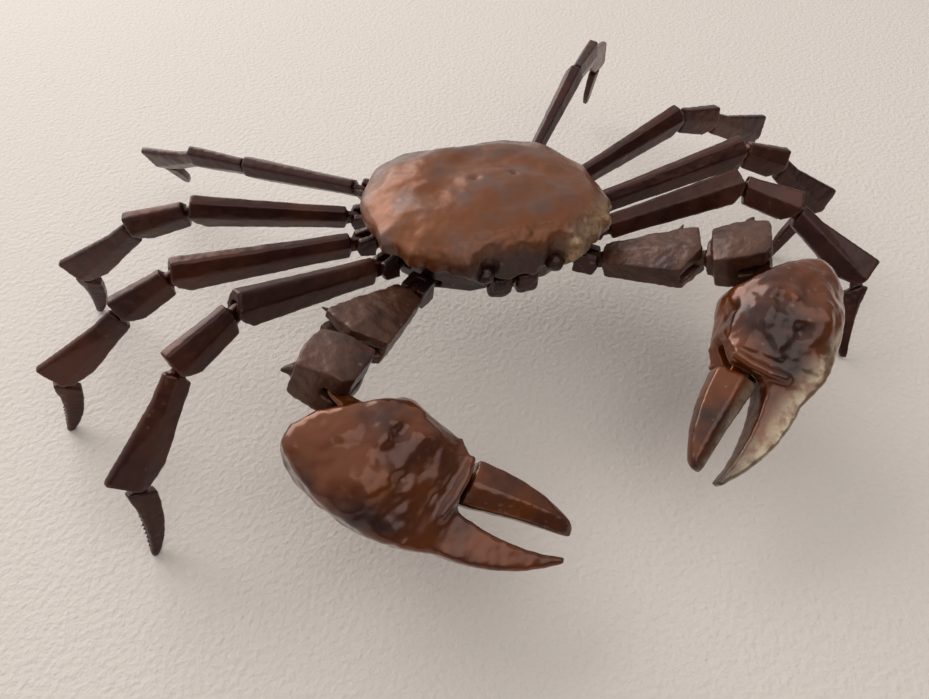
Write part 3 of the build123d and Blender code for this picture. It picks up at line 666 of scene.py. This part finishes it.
# Share of a plate's width that its folded back and belly keep
BACK_FOLD = {"merus": 0.46, "carpus": 0.46, "propodus": 0.34}
BELLY_FOLD = 0.6
NEXT = {"merus": "carpus", "carpus": "propodus", "propodus": "dactyl"}


def collar(plate, near, top, corner, low):
    """Cuts a plate square behind its near hinge and clears its belly for the bend, in knuckles."""
    trim(plate, (top * near, TALL), (top * near, -TALL))
    trim(plate, (corner[0] * near, corner[1] * near), (low[0] * near, low[1] * near))


def leg_plate(limb, kind, shape):
    """One of the long plates of a leg, folded to six sides, with its fork and its tongue."""
    matrix, length = limb_frame(f"{limb}_{kind}", hinge(f"{limb}_{NEXT[kind]}")[0])
    back0, belly0, back1, belly1, wide0, wide1 = LEG_SHAPES[kind]
    near, far = KNUCKLES[kind]
    top, low = SHOULDERS[kind]
    stop = length + FORK_TIP[0] * far
    tilt0, tilt1 = (back0 - belly0) / 2, (back1 - belly1) / 2
    plate = draw_out([
        (0, tilt0, back0 + belly0, wide0),
        (0.3 * length, tilt0, back0 + belly0 + 0.2, wide0 + 0.2),
        (length, tilt1, back1 + belly1, wide1),
        (stop, tilt1, back1 + belly1, wide1),
    ])
    fold(plate, 0.6, BACK_FOLD[kind], BELLY_FOLD)
    if kind == "merus":
        trim(plate, (top * near, back1 * 1.4), (low * near, -belly1 * 1.4))
    else:
        collar(plate, near, 1.12, (1.12, 0.4), (1.95, -2.1))
    fork_end(plate, length, far, HEELS[kind], back1, belly1, 0.55)
    carve(plate, block(length - SLOT_START * far, stop + 2, -TALL, far + 0.4, shape.tongue + SLOT_PLAY))
    plate = join([plate, knuckle_disc(near, shape.tongue),
                  block(0, (top + low) / 2 * near + near / 2, -near, near, shape.tongue)])
    fuse(plate, shape.grain, 6)
    hammer(plate, shape.blow, 2.2)
    return plate, matrix


class CRAB_OT_leg_plates(bpy.types.Operator):
    """Folds the three long plates of each leg"""

    bl_idname = "crab.leg_plates"
    bl_label = "Leg plates"

    def execute(self, context):
        shape = sizes_in_mm(context)
        for word in SIDES:
            for pair in range(1, 5):
                limb = f"{word}_leg_{pair}"
                for kind in ("merus", "carpus", "propodus"):
                    plate, matrix = leg_plate(limb, kind, shape)
                    set_down(plate, matrix, f"{limb}_{kind}_plate", f"{limb}_{kind}",
                             "folded copper, liver patina")
        return {"FINISHED"}


class CRAB_OT_feet(bpy.types.Operator):
    """Draws out the curved foot of each leg and cuts its serrations"""

    bl_idname = "crab.feet"
    bl_label = "Feet"

    def execute(self, context):
        shape = sizes_in_mm(context)
        near = KNUCKLES["dactyl"][0]
        for word in SIDES:
            for pair in range(1, 5):
                node = f"{word}_leg_{pair}_dactyl"
                matrix, reach = limb_frame(node, tip_of(node, hinge(node)[0]))
                foot = draw_out([
                    (1.8, 0.1, 4.9, 3.1), (4.0, -0.35, 4.8, 2.9), (0.33 * reach, -0.8, 4.3, 2.8),
                    (0.5 * reach, -1.1, 3.8, 2.6), (0.68 * reach, -1.1, 3.2, 2.4),
                    (0.84 * reach, -0.8, 2.5, 2.1), (0.94 * reach, -0.4, 1.9, 1.8),
                    (0.995 * reach, -0.15, 1.2, 1.4),
                ])
                fold(foot, 0.15, 0.6, 0.7)
                collar(foot, near, 1.35, (1.4, 0.5), (2.6, -2.1))
                teeth = [spike((reach * t, 0.2, 0), (reach * t + 0.2, 1.5 - 1.4 * abs(t - 0.4), 0), 0.4)
                         for t in (0.42, 0.48, 0.54, 0.6, 0.66, 0.72, 0.78, 0.84)]
                foot = join([foot, knuckle_disc(near, shape.tongue),
                             block(0, 3.2 * near, -near, near, shape.tongue)] + teeth)
                fuse(foot, shape.grain * 0.85, 4)
                hammer(foot, shape.blow, 1.6)
                set_down(foot, matrix, f"{node}_plate", node, "folded copper, liver patina")
        return {"FINISHED"}


class CRAB_OT_arms(bpy.types.Operator):
    """Raises the two rough plates between each claw's hip and hand"""

    bl_idname = "crab.arms"
    bl_label = "Claw arms"

    def execute(self, context):
        shape = sizes_in_mm(context)
        for word in SIDES:
            limb = f"{word}_claw"
            lift = hinge(f"{limb}_merus")[1]
            end, elbow = hinge(f"{limb}_carpus")
            matrix, length = limb_frame(f"{limb}_merus", end, elbow)
            arm = draw_out([
                (2.8, 0, 6.2, 5.8), (8, 0, 8.2, 6.4), (13, 0, 10.2, 7.0), (18, 0, 12.0, 7.6),
                (length - 0.9, 0, 12.7, 7.9), (length + 0.6, 0, 12.5, 7.8), (length + 1.7, -0.2, 11.8, 7.4),
            ])
            fold(arm, 0, 0.7, 0.75)
            fork_end(arm, length, ELBOW, 1.2, 6.4, 6.2, 0.25)
            carve(arm, block(length - 2.6, length + 5, -15, 15, shape.claw_tongue + SLOT_PLAY))
            # a row of beads along the back, two rows down the belly, and one long spine
            spines = [spike((x - 0.5, 1.6 + x * 0.2, 1.2), (x + 0.5, 2.9 + x * 0.22, 1.4), 0.7)
                      for x in (5.5, 7.2, 8.9, 10.6, 12.3, 14.0, 15.7)]
            spines += [spike((x, 1.4 - x * 0.31, z), (x + 0.4, 0.2 - x * 0.33, z * 1.2), 0.7)
                       for x in (8, 10.5, 13, 15.5, 18) for z in (1.7, -1.7)]
            spines += [spike((17.6, 4.6, 0.6), (19.0, 9.2, 0.8), 1.6)]
            turn = turn_about_limb(matrix, lift)
            arm = join([arm, knuckle_disc(SHOULDER, shape.claw_tongue, turn),
                        block(0, 3.7, -SHOULDER, SHOULDER, shape.claw_tongue, turn)] + spines)
            fuse(arm, shape.grain, 4)
            hammer(arm, 0.5, 2.4)
            set_down(arm, matrix, f"{limb}_arm", f"{limb}_merus", "chased copper, dull patina")

            end, wrist = hinge(f"{limb}_palm")
            matrix, length = limb_frame(f"{limb}_carpus", end, elbow)
            turn = turn_about_limb(matrix, wrist)
            hood = draw_out([
                (0, 0.35, 9.1, 7.4), (4, 0.8, 10.2, 8.8), (7, 1.3, 11.2, 9.9), (10, 1.6, 11.8, 10),
                (length, 1.7, 11.7, 10), (length + 1.7, 1.6, 11.2, 9.6),
            ])
            fold(hood, 1.5, 0.72, 0.9)
            trim(hood, (1.25 * ELBOW, 9), (2.7 * ELBOW, -8))
            fork_end(hood, length, WRIST, 3.4, 7.5, 4.2, 0.25)
            carve(hood, block(length - 4.7, length + 5, -15, WRIST + 0.4, shape.claw_tongue + SLOT_PLAY, turn))
            # the horn of the wrist, a low one before it and one on each cheek
            spines = [spike((9.0, 5.4, 1.6), (10.6, 9.8, 2.4), 2.2),
                      spike((5.4, 4.2, 2.4), (6.0, 6.2, 3.0), 1.2)]
            spines += [spike((12.6, 4.4, 3.0), (14.4, 6.0, 3.6), 1.3),
                       spike((12.8, 4.4, -3.0), (14.2, 5.8, -3.4), 1.2)]
            hood = join([hood, knuckle_disc(ELBOW, shape.claw_tongue),
                         block(0, 4.4, -ELBOW, ELBOW, shape.claw_tongue),
                         block(2.5, 5.5, -2.4, 2.3, 6.2)] + spines)
            fuse(hood, shape.grain, 9)
            hammer(hood, 0.35, 1.9)
            set_down(hood, matrix, f"{limb}_wrist_hood", f"{limb}_carpus", "chased copper, dull patina")
        return {"FINISHED"}


# Round edge of the fixed finger's root, and the blows that shape a hand: place, move and reach on
# one face, which the other face mirrors
HAND_ROD = ((24.3, 4.3, 4.2), (25.4, 1.2, 4.6), (25.8, -2.6, 4.7), (25.6, -7.0, 4.4))
HAND_BLOWS = (
    ((11, -3, 7), (0, 0, 1.5), 10.0), ((2, -7, 5.6), (0, 0, 1.3), 7.0), ((12, -11, 5.6), (0, -0.3, 1.2), 7.0),
    ((16, 3.6, 4.6), (0, 0, 1.0), 5.0), ((8.5, 1.0, 7), (0, 0, -0.9), 2.2), ((10.5, -3.0, 8), (0, 0, 0.7), 2.2),
    ((12.5, -0.5, 8), (0, 0, -0.8), 2.0), ((16.5, -6.5, 7), (0, 0, -0.9), 2.2),
    ((5.5, -3.5, 7), (0, 0, -0.7), 2.4), ((7, -9, 7), (0, 0, -0.8), 2.6), ((19.5, 1.6, 5.4), (0, 0, 0.9), 2.6),
    ((17, -3, 6.4), (0, 0, -0.7), 2.4), ((20, -5.5, 5.6), (0, 0, 0.8), 2.6),
    ((14.5, 1.5, 6.2), (0, 0, 0.8), 3.0), ((13.5, -7.5, 6.8), (0, 0, -0.6), 2.6),
    ((19, -9.5, 5), (0, 0, 0.8), 3.0), ((12, 5.2, 2), (0, 0.5, 0), 3.0), ((18, 5.2, 2), (0, 0.5, 0), 2.4),
)


class CRAB_OT_hands(bpy.types.Operator):
    """Raises the swollen hands with their fixed fingers"""

    bl_idname = "crab.hands"
    bl_label = "Hands"

    def execute(self, context):
        for word in SIDES:
            node = f"{word}_claw_palm"
            matrix = limb_frame(node, *hinge(f"{word}_claw_finger"))[0]
            hand = raised_copy(node, matrix)
            for side in (1, -1):
                hand = join([hand] + [spike((a[0], a[1], a[2] * side), (b[0], b[1], b[2] * side), 1.0, 1.0)
                                      for a, b in zip(HAND_ROD, HAND_ROD[1:])])
            modify(hand, "REMESH", mode="VOXEL", voxel_size=sizes_in_mm(context).grain)
            # the palm is swollen, the fixed finger keeps its edges
            soften(hand, 110, lambda c: -3 < c.x < 21.5 and (c.y < 2 or c.x > 5))
            soften(hand, 25, lambda c: c.x > 20 and c.y < 0)
            modify(hand, "SMOOTH", factor=0.5, iterations=2)
            push(hand, mirrored(HAND_BLOWS, 2, 1) + mirrored(HAND_BLOWS, 2, -1))
            hammer(hand, 1.2, 4.4, test=lambda c: c.x < 23)
            hammer(hand, 0.3, 1.8)
            soften(hand, 9, lambda c: True)
            finish = "cast bronze, rubbed hand" if word == "left" else "cast bronze, waxed patina"
            set_down(hand, matrix, f"{word}_hand", node, finish)
        return {"FINISHED"}


# Turn of a finger from the line to its hooked tip, in degrees
FINGER_TURN = 3.9


class CRAB_OT_fingers(bpy.types.Operator):
    """Draws out the hooked movable fingers"""

    bl_idname = "crab.fingers"
    bl_label = "Fingers"

    def execute(self, context):
        shape = sizes_in_mm(context)
        for word in SIDES:
            node = f"{word}_claw_finger"
            matrix, reach = limb_frame(node, tip_of(node, hinge(node)[0]))
            matrix = matrix @ Matrix.Rotation(math.radians(FINGER_TURN), 4, "Z")
            finger = draw_out([
                (2.3, 0.4, 8.2, 7.0), (5, 0.5, 8.2, 7.1), (9, 0.6, 7.6, 6.8), (13, 0.5, 6.6, 6.1),
                (17, 0.1, 5.5, 5.0), (20, -0.45, 4.3, 4.0), (22.2, -1.0, 3.1, 3.1), (23.7, -1.5, 1.8, 2.0),
            ])
            fold(finger, 0.2, 0.5, 0.5)
            trim(finger, (3.9, 5), (2.7, -4))
            teeth = [spike((x, -1.9 + 0.01 * x, 0), (x + 0.2, -3.2 + 0.03 * x, 0), 0.8)
                     for x in (7, 10.5, 14, 17.5)]
            finger = join([finger, knuckle_disc(PINCH, shape.claw_tongue),
                           block(0, 4.6, -PINCH, PINCH, shape.claw_tongue)] + teeth)
            fuse(finger, shape.grain * 0.85, 30)
            hammer(finger, 0.2, 2.4)
            finish = "cast bronze, rubbed finger" if word == "left" else "cast bronze, waxed patina"
            set_down(finger, matrix, f"{word}_finger_shell", node, finish)
        return {"FINISHED"}


# Lamps: place and width in metres, and power in watts
LAMPS = (("window", (-0.3, 0.8, 0.5), 0.8, 6.5), ("room", (0.3, -0.6, 0.9), 1.0, 3.0))
LAMP_COLOUR = (1.0, 0.975, 0.94)
SKY_COLOUR = (1.0, 0.975, 0.95, 1.0)
# Camera of the photograph: place in millimetres, its right and its back, and its angle in degrees
CAMERA_PLACE = Vector((-48.6, -113.15, 130.0))
CAMERA_RIGHT = Vector((0.928, -0.373, 0.008))
CAMERA_BACK = Vector((-0.245, -0.594, 0.766))
CAMERA_ANGLE = 66.6
# Width of the bumps that rough felts press into paper, in millimetres
PAPER_TOOTH = 1.3


class CRAB_OT_stage(bpy.types.Operator):
    """Lays the paper, hangs the lamps and sets up the camera"""

    bl_idname = "crab.stage"
    bl_label = "Stage"

    def execute(self, context):
        colour = context.scene.crab_finish
        deselect()
        bpy.ops.mesh.primitive_plane_add(size=3.0, location=(0, 0, 0))
        paper = bpy.context.object
        paper.name = "paper"
        material = bpy.data.materials.new("watercolour paper")
        material.use_nodes = True
        tree = material.node_tree
        tree.nodes.clear()
        place = add_node(tree, "TexCoord", {}, "Object")
        # paper pressed between rough felts: a dull pale sheet with a soft tooth, drawn at its real size
        tooth = add_node(tree, "TexNoise", {"Vector": place, "Scale": 1 / (PAPER_TOOTH * MM), "Detail": 3.0})
        bump = add_node(tree, "Bump", {"Strength": 0.9, "Distance": 0.5 * MM, "Height": tooth})
        shader = add_node(tree, "BsdfPrincipled", {"Base Color": colour.paper, "Roughness": 0.75,
                                                   "Normal": bump})
        add_node(tree, "OutputMaterial", {"Surface": shader}, None)
        paper.data.materials.append(material)

        world = bpy.data.worlds.new("pale room")
        world.use_nodes = True
        sky = world.node_tree
        # the room is brighter towards the window behind the crab than on the viewer's side
        toward = add_node(sky, "VectorMath", {"operation": "DOT_PRODUCT", 1: (-0.25, 0.6, 0.76),
                                              0: add_node(sky, "TexCoord", {}, "Generated")}, "Value")
        level = add_node(sky, "MapRange", {"Value": toward, "From Min": -0.4, "From Max": 1.0, "To Min": 0.1,
                                           "To Max": 0.85})
        sky.links.new(level, sky.nodes["Background"].inputs["Strength"])
        sky.nodes["Background"].inputs["Color"].default_value = SKY_COLOUR
        context.scene.world = world
        for name, spot, size, power in LAMPS:
            lamp = bpy.data.lights.new(name, "AREA")
            lamp.size = size
            lamp.energy = power
            lamp.color = LAMP_COLOUR
            holder = bpy.data.objects.new(name, lamp)
            holder.location = spot
            holder.rotation_mode = "QUATERNION"
            holder.rotation_quaternion = Vector(spot).to_track_quat("Z", "Y")
            context.scene.collection.objects.link(holder)

        right, back = CAMERA_RIGHT.normalized(), CAMERA_BACK.normalized()
        right = (right - back * right.dot(back)).normalized()
        camera = bpy.data.cameras.new("camera")
        camera.angle = math.radians(CAMERA_ANGLE)
        camera.clip_start = 0.005
        eye = bpy.data.objects.new("camera", camera)
        turn = Matrix((right, back.cross(right), back)).transposed().to_4x4()
        eye.matrix_world = Matrix.Translation(CAMERA_PLACE * MM) @ turn
        context.scene.collection.objects.link(eye)
        context.scene.camera = eye
        context.scene.view_settings.view_transform = "Standard"
        return {"FINISHED"}


STEPS = ("finishes", "shell", "underside", "head", "leg_plates", "feet", "arms", "hands", "fingers", "stage")


class CRAB_PT_panel(bpy.types.Panel):
    """The steps that dress the crab"""

    bl_idname = "CRAB_PT_panel"
    bl_label = "Copper crab"
    bl_space_type = "VIEW_3D"
    bl_region_type = "UI"
    bl_category = "Crab"

    def draw(self, context):
        for name in CrabFinish.__annotations__:
            self.layout.prop(context.scene.crab_finish, name)
        for name in CrabShape.__annotations__:
            self.layout.prop(context.scene.crab_shape, name)
        for step in STEPS:
            self.layout.operator(f"crab.{step}")


CLASSES = (CrabFinish, CrabShape, CRAB_OT_finishes, CRAB_OT_shell, CRAB_OT_underside, CRAB_OT_head,
           CRAB_OT_leg_plates, CRAB_OT_feet, CRAB_OT_arms, CRAB_OT_hands, CRAB_OT_fingers, CRAB_OT_stage,
           CRAB_PT_panel)


def register():
    for each in CLASSES:
        bpy.utils.register_class(each)
    bpy.types.Scene.crab_finish = bpy.props.PointerProperty(type=CrabFinish)
    bpy.types.Scene.crab_shape = bpy.props.PointerProperty(type=CrabShape)


def unregister():
    del bpy.types.Scene.crab_shape
    del bpy.types.Scene.crab_finish
    for each in reversed(CLASSES):
        bpy.utils.unregister_class(each)


def main():
    register()
    for step in STEPS:
        getattr(bpy.ops.crab, step)()


if __name__ == "__main__":
    main()
